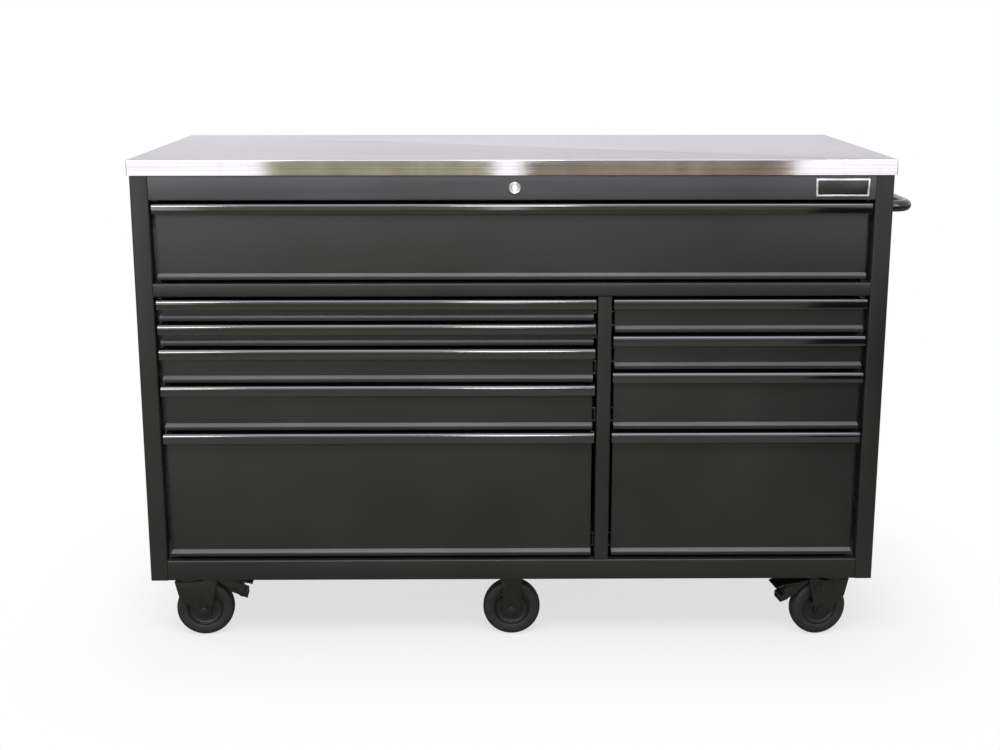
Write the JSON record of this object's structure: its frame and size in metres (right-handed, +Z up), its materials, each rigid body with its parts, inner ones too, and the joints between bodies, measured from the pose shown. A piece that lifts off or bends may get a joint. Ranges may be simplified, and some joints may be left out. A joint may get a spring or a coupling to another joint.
{
  "type": "rolling tool cabinet",
  "caption": "Wide rolling tool cabinet: folded steel body on casters, steel-wrapped worktop, drawers with full-width pulls on slides, key lock with lifting bar, side push handle.",
  "frame": {"origin": "on the floor under the middle of the whole object's box", "axes": "+X to the viewer's right along the width, towards the push handle; +Y from the drawer fronts to the back; +Z up"},
  "size_m": [1.614, 0.56, 1.058],
  "materials": {
    "body_coat": "matte charcoal powder coat",
    "drawer_coat": "satin charcoal powder coat",
    "pull_black": "gloss black anodised extrusion",
    "handle_coat": "gloss black powder coat",
    "stainless_top": "brushed stainless sheet",
    "board": "plain particle board",
    "zinc_steel": "bright zinc plate",
    "lock_chrome": "polished chrome plate",
    "wheel_rubber": "black moulded wheel",
    "caster_coat": "black painted pressed steel"
  },
  "bodies": {
    "chassis": {"left_side_panel": "body_coat", "right_side_panel": "body_coat", "back_panel": "body_coat", "base_pan": "body_coat", "header_rail": "body_coat", "middle_rail": "body_coat", "left_slide_rack": "zinc_steel", "right_slide_rack": "zinc_steel", "centre_divider": "body_coat", "worktop_skin": "stainless_top", "worktop_core": "board", "lock_barrel": "lock_chrome", "rod_bracket": "zinc_steel", "push_handle": "handle_coat", "handle_flange_front": "handle_coat", "handle_flange_rear": "handle_coat", "rigid_fork_front_middle": "caster_coat", "rigid_fork_rear_middle": "caster_coat", "caster_plate_front_left": "zinc_steel", "caster_plate_front_right": "zinc_steel", "caster_plate_rear_left": "zinc_steel", "caster_plate_rear_right": "zinc_steel"},
    "top_drawer": {"top_drawer": "drawer_coat", "top_drawer_pull": "pull_black"},
    "left_drawer_1": {"left_drawer_1": "drawer_coat", "left_drawer_1_pull": "pull_black"},
    "left_drawer_2": {"left_drawer_2": "drawer_coat", "left_drawer_2_pull": "pull_black"},
    "left_drawer_3": {"left_drawer_3": "drawer_coat", "left_drawer_3_pull": "pull_black"},
    "left_drawer_4": {"left_drawer_4": "drawer_coat", "left_drawer_4_pull": "pull_black"},
    "left_drawer_5": {"left_drawer_5": "drawer_coat", "left_drawer_5_pull": "pull_black"},
    "right_drawer_1": {"right_drawer_1": "drawer_coat", "right_drawer_1_pull": "pull_black"},
    "right_drawer_2": {"right_drawer_2": "drawer_coat", "right_drawer_2_pull": "pull_black"},
    "right_drawer_3": {"right_drawer_3": "drawer_coat", "right_drawer_3_pull": "pull_black"},
    "right_drawer_4": {"right_drawer_4": "drawer_coat", "right_drawer_4_pull": "pull_black"},
    "swivel_front_left": {"caster_fork_front_left": "caster_coat"},
    "brake_front_left": {"brake_pedal_front_left": "caster_coat"},
    "rolling_wheel_front_left": {"wheel_front_left": "wheel_rubber"},
    "swivel_front_right": {"caster_fork_front_right": "caster_coat"},
    "brake_front_right": {"brake_pedal_front_right": "caster_coat"},
    "rolling_wheel_front_right": {"wheel_front_right": "wheel_rubber"},
    "swivel_rear_left": {"caster_fork_rear_left": "caster_coat"},
    "brake_rear_left": {"brake_pedal_rear_left": "caster_coat"},
    "rolling_wheel_rear_left": {"wheel_rear_left": "wheel_rubber"},
    "swivel_rear_right": {"caster_fork_rear_right": "caster_coat"},
    "brake_rear_right": {"brake_pedal_rear_right": "caster_coat"},
    "rolling_wheel_rear_right": {"wheel_rear_right": "wheel_rubber"},
    "rolling_wheel_front_middle": {"wheel_front_middle": "wheel_rubber"},
    "rolling_wheel_rear_middle": {"wheel_rear_middle": "wheel_rubber"},
    "lock_core": {"lock_plug": "lock_chrome", "lock_rod": "zinc_steel"},
    "lock_bar": {"lock_bar": "zinc_steel"}
  },
  "joints": [
    {"name": "top_drawer_slide", "type": "slide", "parent": "chassis", "child": "top_drawer", "axis": [0, -1, 0], "range_m": [0, 0.345]},
    {"name": "left_drawer_1_slide", "type": "slide", "parent": "chassis", "child": "left_drawer_1", "axis": [0, -1, 0], "range_m": [0, 0.345]},
    {"name": "left_drawer_2_slide", "type": "slide", "parent": "chassis", "child": "left_drawer_2", "axis": [0, -1, 0], "range_m": [0, 0.345]},
    {"name": "left_drawer_3_slide", "type": "slide", "parent": "chassis", "child": "left_drawer_3", "axis": [0, -1, 0], "range_m": [0, 0.345]},
    {"name": "left_drawer_4_slide", "type": "slide", "parent": "chassis", "child": "left_drawer_4", "axis": [0, -1, 0], "range_m": [0, 0.345]},
    {"name": "left_drawer_5_slide", "type": "slide", "parent": "chassis", "child": "left_drawer_5", "axis": [0, -1, 0], "range_m": [0, 0.345]},
    {"name": "right_drawer_1_slide", "type": "slide", "parent": "chassis", "child": "right_drawer_1", "axis": [0, -1, 0], "range_m": [0, 0.345]},
    {"name": "right_drawer_2_slide", "type": "slide", "parent": "chassis", "child": "right_drawer_2", "axis": [0, -1, 0], "range_m": [0, 0.345]},
    {"name": "right_drawer_3_slide", "type": "slide", "parent": "chassis", "child": "right_drawer_3", "axis": [0, -1, 0], "range_m": [0, 0.345]},
    {"name": "right_drawer_4_slide", "type": "slide", "parent": "chassis", "child": "right_drawer_4", "axis": [0, -1, 0], "range_m": [0, 0.345]},
    {"name": "swivel_turn_front_left", "type": "hinge", "parent": "chassis", "child": "swivel_front_left", "pos_m": [-0.735, -0.214, 0.14], "axis": [0, 0, 1], "continuous": true},
    {"name": "wheel_roll_front_left", "type": "hinge", "parent": "swivel_front_left", "child": "rolling_wheel_front_left", "pos_m": [-0.70308, -0.21177, 0.0625], "axis": [-0.0698, 0.9976, 0], "continuous": true},
    {"name": "brake_press_front_left", "type": "hinge", "parent": "swivel_front_left", "child": "brake_front_left", "pos_m": [-0.68113, -0.21023, 0.131], "axis": [-0.0698, 0.9976, 0], "range_deg": [0, 6]},
    {"name": "swivel_turn_front_right", "type": "hinge", "parent": "chassis", "child": "swivel_front_right", "pos_m": [0.678, -0.214, 0.14], "axis": [0, 0, 1], "continuous": true},
    {"name": "wheel_roll_front_right", "type": "hinge", "parent": "swivel_front_right", "child": "rolling_wheel_front_right", "pos_m": [0.64649, -0.21956, 0.0625], "axis": [0.1736, -0.9848, 0], "continuous": true},
    {"name": "brake_press_front_right", "type": "hinge", "parent": "swivel_front_right", "child": "brake_front_right", "pos_m": [0.62482, -0.22338, 0.131], "axis": [0.1736, -0.9848, 0], "range_deg": [0, 6]},
    {"name": "swivel_turn_rear_left", "type": "hinge", "parent": "chassis", "child": "swivel_rear_left", "pos_m": [-0.735, 0.214, 0.14], "axis": [0, 0, 1], "continuous": true},
    {"name": "wheel_roll_rear_left", "type": "hinge", "parent": "swivel_rear_left", "child": "rolling_wheel_rear_left", "pos_m": [-0.70324, 0.2101, 0.0625], "axis": [0.1219, 0.9925, 0], "continuous": true},
    {"name": "brake_press_rear_left", "type": "hinge", "parent": "swivel_rear_left", "child": "brake_rear_left", "pos_m": [-0.6814, 0.20742, 0.131], "axis": [0.1219, 0.9925, 0], "range_deg": [0, 6]},
    {"name": "swivel_turn_rear_right", "type": "hinge", "parent": "chassis", "child": "swivel_rear_right", "pos_m": [0.678, 0.214, 0.14], "axis": [0, 0, 1], "continuous": true},
    {"name": "wheel_roll_rear_right", "type": "hinge", "parent": "swivel_rear_right", "child": "rolling_wheel_rear_right", "pos_m": [0.64618, 0.21734, 0.0625], "axis": [-0.1045, -0.9945, 0], "continuous": true},
    {"name": "brake_press_rear_right", "type": "hinge", "parent": "swivel_rear_right", "child": "brake_rear_right", "pos_m": [0.6243, 0.21964, 0.131], "axis": [-0.1045, -0.9945, 0], "range_deg": [0, 6]},
    {"name": "wheel_roll_front_middle", "type": "hinge", "parent": "chassis", "child": "rolling_wheel_front_middle", "pos_m": [-0.0285, -0.214, 0.0625], "axis": [0, 1, 0], "continuous": true},
    {"name": "wheel_roll_rear_middle", "type": "hinge", "parent": "chassis", "child": "rolling_wheel_rear_middle", "pos_m": [-0.0285, 0.214, 0.0625], "axis": [0, 1, 0], "continuous": true},
    {"name": "lock_turn", "type": "hinge", "parent": "chassis", "child": "lock_core", "pos_m": [-0.0245, -0.266, 1.0005], "axis": [0, 1, 0], "range_deg": [0, 90]},
    {"name": "lock_bar_lift", "type": "slide", "parent": "chassis", "child": "lock_bar", "axis": [0, 0, 1], "range_m": [0, 0.01]}
  ],
  "couplings": [
    {"joint": "lock_turn", "follows": "lock_bar_lift", "rad_per_m": 157.07}
  ]
}
